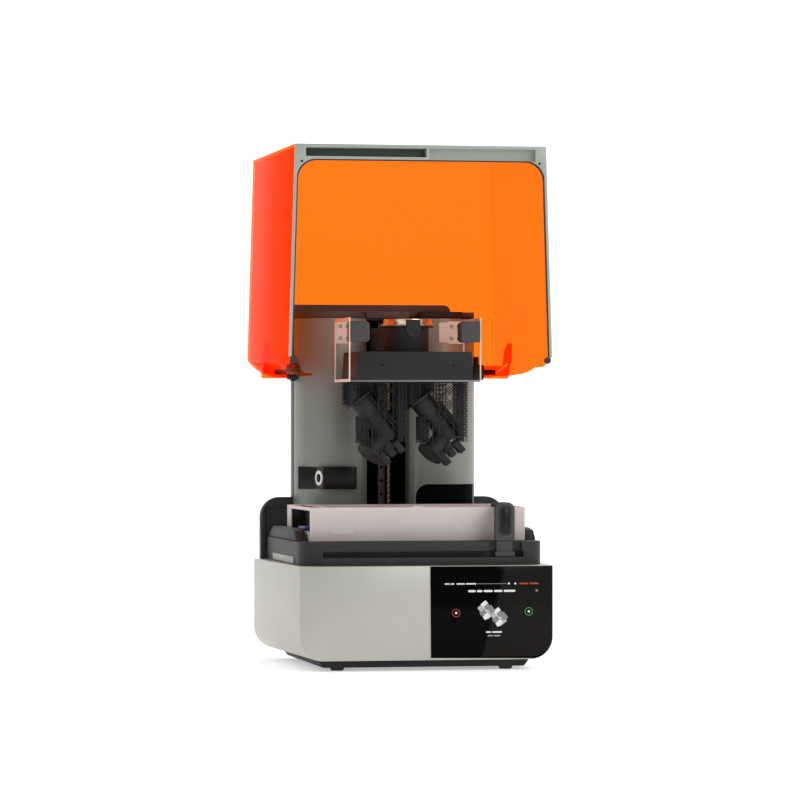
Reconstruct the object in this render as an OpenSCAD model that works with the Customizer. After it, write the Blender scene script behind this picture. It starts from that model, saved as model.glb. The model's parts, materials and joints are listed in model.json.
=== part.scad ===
// Desktop resin printer with a hinged amber cover, shown with the cover swung open.
// Origin at the centre of the base, on the surface it stands on. X right, Y back, Z up. Millimetres.

/* [Base] */
// Width of the base across its front face
front_w = 376; // [360:1:386]
// Width of the base across its rear face
rear_w = 398; // [390:1:410]
// Depth of the base
base_d = 367; // [360:1:380]
// Radius of the lower long edges of the base
edge_r = 33; // [20:1:40]
// Left edge of the touchscreen, measured from the centre line
screen_left = 6; // [0:1:30]

/* [Cover] */
// Wall thickness of the amber cover
cover_t = 3; // [2:0.5:4]
// Angle of the cover from closed
cover_open = 90; // [0:5:90]

/* [Tower] */
// Radius of each lobe of the tower
lobe_r = 61; // [58:0.5:62]
// Half the width of the slot between the lobes
slot_half = 33; // [28:1:36]
// Top of the tower lobes
tower_top = 522; // [500:1:526]

/* [Platform] */
// Width of the build platform across its top
platform_w = 171; // [150:1:176]
// Depth of the build platform
platform_d = 127; // [110:1:130]
// Underside of the build sheet in the raised position
sheet_z = 423.5; // [420:0.5:440]

/* [Hidden] */
$fn = 48;
clear = 0.3;
silver = [0.70, 0.70, 0.66];
dark = [0.16, 0.16, 0.16];
black = [0.04, 0.04, 0.04];
sage = [0.50, 0.53, 0.48];
amber = [1.0, 0.42, 0.05, 0.6];
cream = [0.85, 0.80, 0.72];
steel = [0.65, 0.66, 0.68];
y_front = -base_d / 2;
y_rear = base_d / 2;
base_z0 = 16;
base_top = 153.4;
panel_t = 3;
wall = 2.5;
foot_h = 5;
deck_z0 = base_top;
deck_top = 188;
deck_front = -158;
deck_half = 182;
deck_rear = 166;
deck_r = 36;
slot_z0 = 165;
slot_z1 = 174;
bulkhead_top = 248;
tank_half = 161.5;
tank_front = -114;
tank_rear = 98;
tank_top = 238;
tank_floor = 192;
lobe_x = 80.5;
lobe_y = 165.5;
lobe_half = lobe_x + lobe_r;
shell_rear = 160;
casing_half = 142;
casing_top = 544;
lid_top = 533;
bay_top = 268;
screw_x = 3;
screw_y = 141;
screw_r = 3;
hinge_y = 147.5;
hinge_z = 440.2;
pin_r = 4;
cover_top = 557;
rim_z0 = 153.8;
rim_z1 = 157.5;
rim_bar_z = 170;
rim_bar_d = 22;
rim_side = 4;
side_end = 128;
kink_y = 134.2;
corner_in = 148;
corner_r = 59;
corner_y = 96;
platform_top = 468;
platform_bot = sheet_z + 2.5;
platform_front = -93;
platform_rear = platform_front + platform_d;
flange_x = 98;
hub_y = -30;
hub_r = 32;
latch_y = -72.8;
latch_z = 513;
mixer_x = 122.5;
mixer_w = 29;
fan_x = 78;
fan_z = 100;
fan_r = 30;
inlet_x = 140;
switch_x = 100;

// A block given by its lowest and highest corners
module block(a, b) {
    translate(a) cube(b - a);
}

module mirrored() {
    children();
    mirror([1, 0, 0]) children();
}

// Half width of the base and the cover at depth y
function half_at(y) = rear_w / 2 - (y_rear - y) * (rear_w - front_w) / 2 / base_d;

// Outline of the base seen from the front, with its two lower corners rounded
module base_outline(half, z0, z1, r) {
    translate([-half, z0 + r]) square([2 * half, z1 - z0 - r]);
    translate([-half + r, z0]) square([2 * half - 2 * r, r + 1]);
    for (s = [-1, 1]) translate([s * (half - r), z0 + r]) circle(r);
}

// Turns an outline drawn in X and Z into a plate between two depths
module upright(y0, y1) {
    translate([0, y1, 0]) rotate([90, 0, 0]) linear_extrude(y1 - y0) children();
}

// Turns an outline drawn in Y and Z into a plate between two places across
module sideways(x0, x1) {
    translate([x0, 0, 0]) rotate([90, 0, 90]) linear_extrude(x1 - x0) children();
}

// Tapered body of the base, drawn in by an inset
module base_solid(inset, y0, y1, z1) {
    hull() {
        upright(y0, y0 + 0.1) base_outline(half_at(y0) - inset, base_z0 + inset, z1, edge_r - inset);
        upright(y1 - 0.1, y1) base_outline(half_at(y1) - inset, base_z0 + inset, z1, edge_r - inset);
    }
}

module base_shell() {
    color(silver) difference() {
        base_solid(0, y_front + panel_t, y_rear, base_top);
        base_solid(wall, y_front, y_rear - wall, base_top - wall);
        block([-150, -120, base_top - 10], [150, 162, base_top + 1]);
        block([inlet_x - 14, y_rear - 10, 36], [inlet_x + 14, y_rear + 1, 60]);
        block([switch_x - 8, y_rear - 10, 36], [switch_x + 8, y_rear + 1, 60]);
        block([-150, y_rear - 10, 36], [-50, y_rear + 1, 70]);
        translate([fan_x, y_rear + 1, fan_z]) rotate([90, 0, 0]) cylinder(r = fan_r, h = 20);
    }
}

module front_panel() {
    color(silver) upright(y_front, y_front + panel_t) intersection() {
        base_outline(front_w / 2, base_z0, base_top, edge_r);
        translate([-front_w, 0]) square([front_w + screen_left - 2, base_top]);
    }
}

// Outline of the screen glass, set in from the edges of the base
module screen_outline(gap) {
    intersection() {
        base_outline(front_w / 2 - gap, base_z0 + 4 * gap, base_top - gap, edge_r - 3);
        translate([screen_left + gap - 1, 0]) square([front_w, base_top]);
    }
}

module screen_bezel() {
    color(silver) upright(y_front, y_front + panel_t) difference() {
        intersection() {
            base_outline(front_w / 2, base_z0, base_top, edge_r);
            translate([screen_left - 2, 0]) square([front_w, base_top]);
        }
        screen_outline(0.9);
    }
}

module touchscreen_glass() {
    color(black) upright(y_front - 0.5, y_front + panel_t) screen_outline(1);
}

module display_module() {
    color(dark) block([screen_left + 10, y_front + panel_t, 34], [158, y_front + panel_t + 8, 148]);
}

module plinth() {
    color(black) upright(-161, 165)
        polygon([[-150, foot_h], [150, foot_h], [158, base_z0], [-158, base_z0]]);
}

module feet() {
    color(black) for (x = [-126, 126], y = [-140, 140])
        translate([x, y, 0]) cylinder(r1 = 9, r2 = 11, h = foot_h);
}

// Plan of the deck with its rounded front corners
module deck_plan(inset) {
    x1 = deck_half - inset;
    y0 = deck_front + inset;
    r = deck_r - inset;
    translate([-x1, y0 + r]) square([2 * x1, deck_rear - inset - y0 - r]);
    translate([-x1 + r, y0]) square([2 * (x1 - r), r + 1]);
    for (s = [-1, 1]) translate([s * (x1 - r), y0 + r]) circle(r);
}

module deck() {
    color(dark) difference() {
        translate([0, 0, deck_z0]) linear_extrude(deck_top - deck_z0) deck_plan(0);
        translate([0, 0, deck_z0 - 1]) linear_extrude(7) deck_plan(5);
        block([-150, -120, deck_z0], [150, 162, deck_top - 5]);
        block([-150, deck_front - 1, slot_z0], [150, deck_front + 18, slot_z1]);
        block([-144, -152, slot_z0], [144, -146, deck_top + 1]);
        block([98, deck_front - 1, slot_z0], [147, -146, deck_top + 1]);
        block([-115, -80, deck_top - 6], [115, 70, deck_top + 1]);
        translate([screw_x, screw_y, deck_z0]) cylinder(r = 9, h = 60);
    }
}

module side_trim() {
    color(sage) mirrored() block([deck_half, -91, 155], [deck_half + 1.2, 101, 165]);
}

module tank_guides() {
    color(black) mirrored() sideways(165, 181)
        polygon([[-104, deck_top], [-86, 203], [-60, 206], [110, 206], [150, 196], [150, deck_top]]);
}

module rear_bulkhead() {
    color(black) difference() {
        upright(deck_rear, y_rear) {
            translate([-191, base_top]) square([382, bulkhead_top - base_top - 30]);
            translate([-161, base_top]) square([322, bulkhead_top - base_top]);
            for (s = [-1, 1]) translate([s * 161, bulkhead_top - 30]) circle(30);
        }
        block([-casing_half - clear, deck_rear - 1, deck_top], [casing_half + clear, y_rear + 1, bulkhead_top + 1]);
        mirrored() block([153, deck_rear - 1, 168], [184, deck_rear + 3, bulkhead_top - 16]);
    }
}

// One lobe of the tower in plan, drawn in by an inset
module lobe_plan(inset) {
    intersection() {
        translate([lobe_x, lobe_y]) circle(lobe_r - inset, $fn = 96);
        translate([slot_half + inset, 60]) square([lobe_half - slot_half - inset, shell_rear - 60]);
    }
}

module bay_outline(grow) {
    translate([42 - grow, deck_top - 1]) square([108 + grow, bay_top - 17 - deck_top]);
    translate([60, bay_top - 40]) square([90, 40 + grow]);
    translate([60, bay_top - 18]) circle(18 + grow);
}

module tower_shell() {
    color(sage) difference() {
        union() {
            mirrored() translate([0, 0, deck_top]) linear_extrude(tower_top - deck_top) lobe_plan(0);
            block([-slot_half - 1, shell_rear - wall, deck_top], [slot_half + 1, shell_rear, tower_top]);
        }
        mirrored() translate([0, 0, deck_top - 1]) linear_extrude(tower_top - deck_top - wall + 1) lobe_plan(wall);
        block([48, 122, tower_top - 10], [120, 157.5, tower_top + 1]);
        upright(90, 150) bay_outline(0);
    }
}

module tower_rear_casing() {
    color(black) difference() {
        union() {
            block([-casing_half, shell_rear, deck_top], [casing_half, y_rear, lid_top]);
            block([-casing_half, shell_rear + 4, lid_top], [95, y_rear, casing_top]);
            translate([95, shell_rear + 4, lid_top]) cube([4, y_rear - shell_rear - 4, 7]);
            translate([95, y_rear, lid_top + 1]) rotate([90, 0, 0]) intersection() {
                cylinder(r = casing_top - lid_top - 1, h = y_rear - shell_rear - 4);
                cube(100);
            }
        }
        block([-casing_half + 3, shell_rear - 1, deck_top - 1], [casing_half - 3, y_rear - 3, lid_top - 8]);
        for (i = [0:9]) block([-60, y_rear - 5, 440 + 7 * i], [60, y_rear + 1, 443 + 7 * i]);
    }
}

module tower_lid() {
    color(dark) difference() {
        translate([0, 0, tower_top]) linear_extrude(lid_top - tower_top) {
            mirror([1, 0]) lobe_plan(1);
            translate([-slot_half - 2, 122]) square([2 * slot_half + 2, shell_rear - 122]);
        }
        translate([0, 0, tower_top - 1]) linear_extrude(lid_top - tower_top - 2) mirror([1, 0]) lobe_plan(5);
    }
}

module dispense_bay() {
    color(black) {
        intersection() {
            upright(90, 150) bay_outline(3);
            translate([0, 0, deck_top]) linear_extrude(90) difference() {
                lobe_plan(wall + 0.1);
                lobe_plan(wall + 2.6);
            }
        }
        translate([84, 128, 276]) cylinder(r = 7, h = 16);
        block([70, 115, 273], [98, 141, 276]);
    }
}

module linear_rail() {
    color(steel) difference() {
        block([-11, 150, 198], [-1, shell_rear - wall, 516]);
        for (i = [0:7]) translate([-6, 140, 210 + 42 * i]) rotate([-90, 0, 0]) cylinder(r = 2.2, h = 30, $fn = 24);
    }
}

module camera_pod() {
    color(black) difference() {
        translate([0, 0, 261]) linear_extrude(34)
            polygon([[-51, 150], [-51, 112], [-57, 91], [-107, 91], [-114.2, 114.5], [-139, 131], [-139, 150]]);
        mirror([1, 0, 0]) translate([lobe_x, lobe_y, 200]) cylinder(r = lobe_r, h = 200, $fn = 96);
    }
}

// Ring and window of the camera, on the slanted face of the pod
module camera_lens() {
    color("white") translate([-110.6, 102.75, 278]) rotate([0, 0, 17.04]) rotate([0, -90, 0]) cylinder(r = 11.5, h = 1.6);
}

module hinge_brackets() {
    color(dark) mirrored() {
        difference() {
            union() {
                translate([138, hinge_y, hinge_z]) rotate([0, 90, 0]) cylinder(r = 12, h = 15);
                block([138, 148, hinge_z - 14], [corner_in - 1, shell_rear - 0.5, hinge_z + 24]);
            }
            translate([lobe_x, lobe_y, 300]) cylinder(r = lobe_r, h = 300, $fn = 96);
            block([120, lobe_y - 20, 300], [lobe_half, lobe_y, 560]);
        }
        translate([153, hinge_y, hinge_z]) rotate([0, 90, 0]) cylinder(r = pin_r, h = 19);
    }
}

module backlight_unit() {
    color(dark) {
        block([-100, -70, 50], [100, 60, 148]);
        for (i = [-4:4]) block([i * 22 - 2, -64, 30], [i * 22 + 2, 54, 50]);
        for (x = [-90, 90], y = [-60, 50]) translate([x, y, base_z0 + wall]) cylinder(r = 5, h = 50 - base_z0 - wall);
    }
}

module lcd_panel() {
    color(black) block([-115, -80, deck_top - 6], [115, 70, deck_top]);
}

module lift_motor() {
    color(dark) {
        block([screw_x - 28, screw_y - 28, 80], [screw_x + 28, screw_y + 28, 145]);
        block([screw_x - 30, screw_y - 30, base_z0 + wall], [screw_x + 30, screw_y + 30, 80]);
    }
}

module screw_bearing() {
    color(steel) difference() {
        translate([screw_x, screw_y, deck_top]) cylinder(r = 13, h = 9);
        translate([screw_x, screw_y, deck_top - 1]) cylinder(r = 5.05, h = 20);
    }
}

module leadscrew() {
    color([0.75, 0.6, 0.3]) translate([screw_x, screw_y, 0]) {
        translate([0, 0, 145 + clear]) cylinder(r = 8, h = 25);
        translate([0, 0, 170]) cylinder(r = 5, h = 30);
        translate([0, 0, 200]) cylinder(r = screw_r, h = 318);
    }
}

module control_board() {
    color([0.05, 0.3, 0.12]) {
        block([-160, 60, 30], [-46, 176, 32]);
        block([-146, 150, 32], [-128, 176, 46]);
        block([-116, 90, 32], [-86, 120, 38]);
        for (x = [-154, -52], y = [66, 170]) translate([x, y, base_z0 + wall]) cylinder(r = 3, h = 30 - base_z0 - wall);
    }
}

module power_supply() {
    color(steel) block([50, 70, base_z0 + wall], [160, 160, 60]);
}

module power_inlet() {
    color(black) difference() {
        union() {
            block([inlet_x - 14, y_rear - 18, 36], [inlet_x + 14, y_rear, 60]);
            block([inlet_x - 17, y_rear, 33], [inlet_x + 17, y_rear + 1.5, 63]);
        }
        block([inlet_x - 11, y_rear - 15, 39.5], [inlet_x + 11, y_rear + 2, 56.5]);
    }
}

module power_switch() {
    color(black) translate([switch_x, y_rear - 4, 48]) {
        rotate([8, 0, 0]) block([-6.5, -4, -9], [6.5, 4, 9]);
        translate([-7.5, 0, 0]) rotate([0, 90, 0]) cylinder(r = 2, h = 15);
    }
}

module port_plate() {
    color(dark) difference() {
        block([-150, y_rear - 2, 36], [-50, y_rear, 70]);
        block([-140, y_rear - 3, 46], [-124, y_rear + 1, 60]);
        block([-112, y_rear - 3, 46], [-96, y_rear + 1, 54]);
        for (x = [-84, -66]) translate([x, y_rear + 1, 52]) rotate([90, 0, 0]) cylinder(r = 4, h = 5, $fn = 24);
    }
}

module fan_frame() {
    color(black) translate([fan_x, y_rear, fan_z]) rotate([90, 0, 0]) {
        difference() {
            translate([-36, -36, wall]) cube([72, 72, 14]);
            translate([0, 0, wall - 1]) cylinder(r = fan_r, h = 20);
        }
        difference() {
            union() {
                for (r = [8:7:29]) difference() {
                    cylinder(r = r, h = 1.5);
                    translate([0, 0, -1]) cylinder(r = r - 1.6, h = 4);
                }
                for (a = [0:45:135]) rotate([0, 0, a]) translate([-fan_r, -1, 0]) cube([2 * fan_r, 2, 1.5]);
            }
        }
        for (a = [45, 135]) rotate([0, 0, a]) translate([-fan_r, -1.5, 14]) cube([2 * fan_r, 3, 2.5]);
    }
}

module fan_rotor() {
    color(dark) translate([fan_x, y_rear, fan_z]) rotate([90, 0, 0]) translate([0, 0, 3]) {
        cylinder(r = 11, h = 10);
        for (a = [0:60:300]) rotate([0, 0, a]) translate([9, -1, 1]) rotate([32, 0, 0]) cube([18.5, 1.5, 9]);
    }
}

module case_screws() {
    color(steel) for (x = [-130, 130], z = [215, 320, 420, 505])
        translate([x, y_rear + 1.2, z]) rotate([90, 0, 0]) difference() {
            cylinder(r = 3.2, h = 1.2, $fn = 32);
            translate([0, 0, -1]) cylinder(r = 1.6, h = 1.8, $fn = 6);
        }
}

module resin_tank() {
    color([0.78, 0.73, 0.72]) difference() {
        block([-tank_half, tank_front, deck_top], [tank_half, tank_rear, tank_top]);
        block([-134, tank_front + 3, tank_floor], [tank_half - 3, tank_rear - 3, tank_top + 1]);
        block([-115, -80, deck_top - 1], [115, 70, tank_floor + 1]);
        block([-tank_half + 3, tank_front + 5, deck_top + 14], [-138, tank_rear - 18, tank_top + 1]);
        block([-tank_half - 1, tank_front + 5, deck_top + 14], [-tank_half + 4, tank_rear - 30, tank_top - 5]);
    }
}

module tank_film() {
    color([0.8, 0.85, 0.9, 0.5]) block([-122, -87, tank_floor], [110, 77, tank_floor + 0.4]);
}

module tank_tab() {
    color("royalblue") block([-157, -40, deck_top + 14], [-141, 24, deck_top + 20]);
}

module mixer_carriage() {
    color(black) {
        block([mixer_x - mixer_w / 2, -156, slot_z0 + 1], [mixer_x + mixer_w / 2, -142, slot_z1 - 1]);
        block([mixer_x - 12, -151.5, slot_z1 - 2], [mixer_x + 12, -146.5, deck_top + 3]);
        upright(-155, -145) {
            translate([mixer_x - mixer_w / 2, deck_top + 2]) square([mixer_w, 44]);
            translate([mixer_x - mixer_w / 2 + 10, 230]) square([mixer_w - 20, 15]);
            for (s = [-1, 1]) translate([mixer_x + s * (mixer_w / 2 - 10), 235]) circle(10);
        }
    }
}

module mixer_arm() {
    color(black) sideways(mixer_x - 10, mixer_x + 10)
        polygon([[-145, 205], [-145, 245], [-104, 245], [-99, 240], [-99, 202], [-109, 202], [-109, 240],
            [-132, 240], [-135, 237], [-135, 205]]);
}

module mixer_blade() {
    color(dark) block([mixer_x - 7, -108, 194], [mixer_x + 7, 78, 202]);
}

module resin_cartridge() {
    color(black) {
        block([50, 127, 300], [118, 155, tower_top + 1]);
        block([50, 124, tower_top + 1], [118, 157, lid_top - 6]);
        translate([52, 126, lid_top - 6]) cube([64, 29, 6]);
        translate([84, 141, 293]) cylinder(r = 6, h = 8);
    }
}

module lift_carriage() {
    color(steel) {
        block([-24, 146.5, 448], [20, 149.7, 508]);
        block([-17, 149, 452], [-11.3, 156, 504]);
        block([-0.7, 149, 452], [5, 156, 504]);
    }
}

module lift_nut() {
    color([0.75, 0.6, 0.3]) difference() {
        block([screw_x - 10, 132, 466], [screw_x + 10, 146.5, 492]);
        translate([screw_x, screw_y, 400]) cylinder(r = screw_r + 0.05, h = 200);
    }
}

module lift_arm() {
    color(dark) difference() {
        union() {
            block([-26, hub_y, 472], [26, 132, 500]);
            block([-28, 122, 450], [28, 132, 506]);
        }
        translate([0, hub_y, 400]) cylinder(r = hub_r, h = 200);
    }
}

module platform_hub() {
    color(black) translate([0, hub_y, 0]) {
        translate([0, 0, platform_top]) cylinder(r = hub_r, h = 37);
        translate([0, 0, 505]) cylinder(r = 39.5, h = 4);
        translate([0, 0, 509]) cylinder(r1 = 36, r2 = 33, h = 8);
    }
}

// Latch lever hanging on a barrel in front of the hub's lid
module platform_latch() {
    color(dark) {
        translate([-10, latch_y, latch_z]) rotate([0, 90, 0]) cylinder(r = 3, h = 21);
        difference() {
            union() {
                block([-10, latch_y - 3, 496], [11, latch_y + 2.5, latch_z]);
                translate([0.5, latch_y + 2.5, 500]) rotate([90, 0, 0]) cylinder(r = 10.5, h = 5.5);
            }
            block([-5, latch_y - 4, 494], [6, latch_y - 1.5, 503]);
        }
    }
}

module platform_body() {
    top = platform_w / 2;
    color(black) upright(platform_front, platform_rear)
        polygon([[-top - 3, platform_bot], [top + 3, platform_bot], [top, platform_top], [-top, platform_top]]);
}

module flex_sheet() {
    color(steel) block([-flange_x + clear, platform_front, sheet_z], [flange_x - clear, platform_rear, platform_bot]);
}

// Thin spring flange with an open middle, and an inward tab at the rear
module flange() {
    color(cream) {
        sideways(flange_x, flange_x + 1.6) difference() {
            translate([platform_front, sheet_z]) square([platform_d, 95]);
            translate([platform_front + 4, sheet_z + 4]) square([platform_d - 8, 86]);
        }
        block([74, platform_rear - 2, 482], [flange_x + 0.5, platform_rear, 516]);
    }
}

module grip() {
    color(dark) upright(-95, -66) {
        translate([69, 488]) square([flange_x - 69, 19]);
        translate([75, 482]) square([flange_x - 75, 31]);
        for (z = [488, 507]) translate([75, z]) circle(6);
    }
}

module flange_rivets() {
    color(steel) for (x = [80, 91], z = [490, 508])
        translate([x, platform_rear - 2, z]) rotate([90, 0, 0]) cylinder(r = 2.4, h = 1.2, $fn = 24);
}

module left_flange() { mirror([1, 0, 0]) flange(); }
module right_flange() { flange(); }
module left_grip() { mirror([1, 0, 0]) grip(); }
module right_grip() { grip(); }
module flange_rivets_left() { mirror([1, 0, 0]) flange_rivets(); }
module flange_rivets_right() { flange_rivets(); }

// A printed pipe manifold on its raft and support pillars
module print() {
    color([0.25, 0.25, 0.26]) {
        block([-29, -28, sheet_z - 2], [29, 28, sheet_z]);
        translate([2, 0, 360]) rotate([0, 135, 0]) {
            translate([0, 0, -34]) cylinder(r = 21, h = 68);
            translate([0, 0, -40]) cylinder(r = 26, h = 8);
        }
        block([4, -16, 306], [26, 16, 340]);
        block([-12, -12, 297], [10, 12, 322]);
        for (x = [-24, -12, 0, 12, 24], y = [-14, 0, 14])
            translate([x, y, 372 - x / 2]) cylinder(r = 1.3, h = sheet_z - 373 + x / 2, $fn = 16);
        for (x = [20, 26], y = [-12, 12]) translate([x, y, 330]) cylinder(r = 1.3, h = sheet_z - 331, $fn = 16);
    }
}

module print_left() { translate([-46, hub_y, 0]) print(); }
module print_right() { translate([46, hub_y, 0]) print(); }

// Moves the closed cover to its open position about the hinge axis
module opened() {
    translate([0, hinge_y, hinge_z]) rotate([-cover_open, 0, 0]) translate([0, -hinge_y, -hinge_z]) children();
}

// Curved rear corner of the cover's plan on the right, drawn in by an inset
function corner_points(inset) = [for (a = [36:6:90])
    [corner_in + (corner_r - inset) * cos(a), corner_y + (corner_r - inset) * sin(a)]];

module cover_plan(inset) {
    right = concat([[half_at(y_front) - inset, y_front + inset], [half_at(side_end) - inset, side_end]],
        corner_points(inset));
    left = [for (i = [len(right) - 1:-1:0]) [-right[i][0], right[i][1]]];
    polygon(concat(right, left));
}

module cover_shell() {
    color(amber) opened() difference() {
        translate([0, 0, rim_z1]) linear_extrude(cover_top - rim_z1) cover_plan(0);
        translate([0, 0, rim_z1 - 1]) linear_extrude(cover_top - rim_z1 - cover_t + 1) {
            cover_plan(cover_t);
            translate([-corner_in, 100]) square([2 * corner_in, 80]);
        }
        block([-corner_in, 100, 0], [corner_in, 200, cover_top - cover_t]);
        mirrored() upright(100, 200)
            polygon([[corner_in - 2, 150], [184, 150], [184, 208], [166, 214], [163, 240], [corner_in - 2, 240]]);
        mirrored() block([140, 129, hinge_z - 24], [193, 200, hinge_z + 15]);
    }
}

// Inner opening of the rim, with rounded front corners
module rim_opening(grow) {
    y0 = y_front + rim_bar_d + grow;
    r = 28;
    half0 = half_at(y0 + r) - rim_side - grow;
    half1 = half_at(200) - rim_side - grow;
    polygon([[-half0, y0 + r], [half0, y0 + r], [half1, 200], [-half1, 200]]);
    translate([-half0 + r, y0]) square([2 * (half0 - r), r + 1]);
    for (s = [-1, 1]) translate([s * (half0 - r), y0 + r]) circle(r);
}

module rim_plan() {
    intersection() {
        cover_plan(0);
        translate([-300, -300]) square([600, 300 + side_end]);
    }
}

module cover_rim() {
    color(sage) opened() difference() {
        union() {
            translate([0, 0, rim_z0]) linear_extrude(rim_z1 - rim_z0) rim_plan();
            block([-178, y_front + cover_t, rim_z1], [178, y_front + rim_bar_d, rim_bar_z]);
        }
        translate([0, 0, rim_z0 - 1]) linear_extrude(30) rim_opening(0);
        block([-172, y_front + 5, rim_z0 - 1], [8, y_front + rim_bar_d - 4, rim_bar_z - 3]);
        block([12, y_front + 5, rim_z0 - 1], [172, y_front + rim_bar_d + 1, rim_bar_z - 3]);
    }
}

module cover_gasket() {
    color(black) opened() translate([0, 0, rim_z0]) linear_extrude(rim_z1 - rim_z0) intersection() {
        difference() {
            rim_opening(0);
            rim_opening(2);
        }
        translate([-300, -300]) square([600, 300 + side_end]);
    }
}

module cover_bumpers() {
    color(black) opened() mirrored() translate([190.5, side_end + 5, rim_z0]) cylinder(r = 5, h = rim_z1 - rim_z0);
}

module hinge_arms() {
    x1 = 192.4;
    color(dark) opened() mirrored() difference() {
        union() {
            translate([154, hinge_y, hinge_z]) rotate([0, 90, 0]) cylinder(r = 10, h = x1 - 154);
            hull() {
                translate([x1 - 7, hinge_y, hinge_z]) rotate([0, 90, 0]) cylinder(r = 10, h = 7, $fn = 32);
                translate([x1 - 7, 122, 425]) rotate([0, 90, 0]) cylinder(r = 12, h = 7, $fn = 32);
            }
            hull() {
                translate([x1 - 7, 122, 425]) rotate([0, 90, 0]) cylinder(r = 12, h = 7, $fn = 32);
                translate([x1 - 7, 92, 330]) rotate([0, 90, 0]) cylinder(r = 20, h = 7, $fn = 32);
            }
            hull() {
                translate([x1 - 7, 92, 330]) rotate([0, 90, 0]) cylinder(r = 20, h = 7, $fn = 32);
                translate([x1 - 7, 92, 268]) rotate([0, 90, 0]) cylinder(r = 16, h = 7, $fn = 32);
            }
        }
        translate([150, hinge_y, hinge_z]) rotate([0, 90, 0]) cylinder(r = pin_r + 0.05, h = 24);
    }
}

base_shell();
front_panel();
screen_bezel();
touchscreen_glass();
display_module();
plinth();
feet();
deck();
side_trim();
tank_guides();
rear_bulkhead();
tower_shell();
tower_rear_casing();
tower_lid();
dispense_bay();
linear_rail();
camera_pod();
camera_lens();
hinge_brackets();
backlight_unit();
lcd_panel();
lift_motor();
screw_bearing();
control_board();
power_supply();
power_inlet();
port_plate();
fan_frame();
case_screws();
resin_tank();
tank_film();
tank_tab();
power_switch();
fan_rotor();
leadscrew();
lift_carriage();
lift_nut();
lift_arm();
platform_hub();
platform_body();
flex_sheet();
print_left();
print_right();
left_flange();
left_grip();
right_flange();
right_grip();
flange_rivets_left();
flange_rivets_right();
platform_latch();
mixer_carriage();
mixer_arm();
mixer_blade();
resin_cartridge();
cover_shell();
cover_rim();
cover_gasket();
cover_bumpers();
hinge_arms();
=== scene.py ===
"""Desktop resin printer with its amber cover swung open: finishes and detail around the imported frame."""

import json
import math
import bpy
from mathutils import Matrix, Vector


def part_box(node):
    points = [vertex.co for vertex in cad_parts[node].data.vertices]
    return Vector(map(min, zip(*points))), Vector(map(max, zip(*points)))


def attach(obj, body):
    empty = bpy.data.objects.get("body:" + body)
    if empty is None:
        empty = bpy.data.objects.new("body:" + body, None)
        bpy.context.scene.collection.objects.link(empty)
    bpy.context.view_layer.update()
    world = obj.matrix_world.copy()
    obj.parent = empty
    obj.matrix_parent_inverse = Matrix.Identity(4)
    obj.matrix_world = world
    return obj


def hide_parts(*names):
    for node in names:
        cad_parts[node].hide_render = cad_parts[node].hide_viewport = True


bl_info = {
    "name": "Resin Printer Finishes",
    "version": (1, 0, 0),
    "blender": (4, 5, 0),
    "location": "3D View > Sidebar > Resin Printer",
    "description": "Adds finishes and fine detail to the packed resin printer",
    "category": "Object",
}

import bmesh
import bpy
from bpy.props import FloatProperty, FloatVectorProperty, IntProperty
from mathutils import Matrix, Vector

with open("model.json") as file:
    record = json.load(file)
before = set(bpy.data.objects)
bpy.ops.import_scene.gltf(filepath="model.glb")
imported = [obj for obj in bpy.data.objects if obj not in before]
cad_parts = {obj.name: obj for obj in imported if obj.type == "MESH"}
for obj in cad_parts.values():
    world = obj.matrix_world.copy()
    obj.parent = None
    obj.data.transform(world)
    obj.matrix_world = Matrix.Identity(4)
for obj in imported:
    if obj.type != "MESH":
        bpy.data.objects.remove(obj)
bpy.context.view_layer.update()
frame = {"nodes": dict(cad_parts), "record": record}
NODES = frame["nodes"]
MM = 0.001
HINGE = Vector((0, 147.5, 440.2)) * MM
MERGE_WITHIN = 0.01 * MM
FLAT_WITHIN = math.radians(1.5)
SMOOTH_UNDER = math.radians(35)
BEVEL_OVER = math.radians(30)
BEVEL_SEGMENTS = 2
DEFAULT_EDGE = 0.8 * MM


# ---------------------------------------------------------------- sizes and colours a user may change


class PrinterFinish(bpy.types.PropertyGroup):
    """Colours of the printer's main finishes"""

    silver: FloatVectorProperty(
        name="Silver paint", description="Satin paint of the base", subtype="COLOR", size=3,
        default=(0.42, 0.42, 0.375),
    )
    sage: FloatVectorProperty(
        name="Sage paint", description="Grey-green paint of the column and the rim", subtype="COLOR", size=3,
        default=(0.20, 0.225, 0.195),
    )
    amber: FloatVectorProperty(
        name="Amber filter", description="Colour that one wall of the cover lets through", subtype="COLOR",
        size=3, default=(1.0, 0.165, 0.008),
    )
    tank: FloatVectorProperty(
        name="Tank plastic", description="Moulded plastic of the resin tank", subtype="COLOR", size=3,
        default=(0.60, 0.53, 0.51),
    )
    resin: FloatVectorProperty(
        name="Printed resin", description="Cured resin of the two prints", subtype="COLOR", size=3,
        default=(0.011, 0.011, 0.0115),
    )


class PrinterSizes(bpy.types.PropertyGroup):
    """Sizes of the added detail"""

    edge: FloatProperty(
        name="Edge radius", description="Rounding of the moulded edges", default=DEFAULT_EDGE,
        min=0.1 * MM, max=2 * MM, unit="LENGTH",
    )
    layer: FloatProperty(
        name="Layer height", description="Spacing of the lines on the prints", default=0.5 * MM,
        min=0.05 * MM, max=1 * MM, unit="LENGTH",
    )
    lens: FloatProperty(
        name="Camera lens", description="Focal length of the stage camera in millimetres", default=183.3,
        min=50, max=300,
    )
    pillars: IntProperty(
        name="Support rows", description="Rows of support struts under each print", default=5, min=2, max=8,
    )


def finish_props():
    return bpy.context.scene.printer_finish


def size_props():
    return bpy.context.scene.printer_sizes


# ---------------------------------------------------------------- shader expressions


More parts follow.
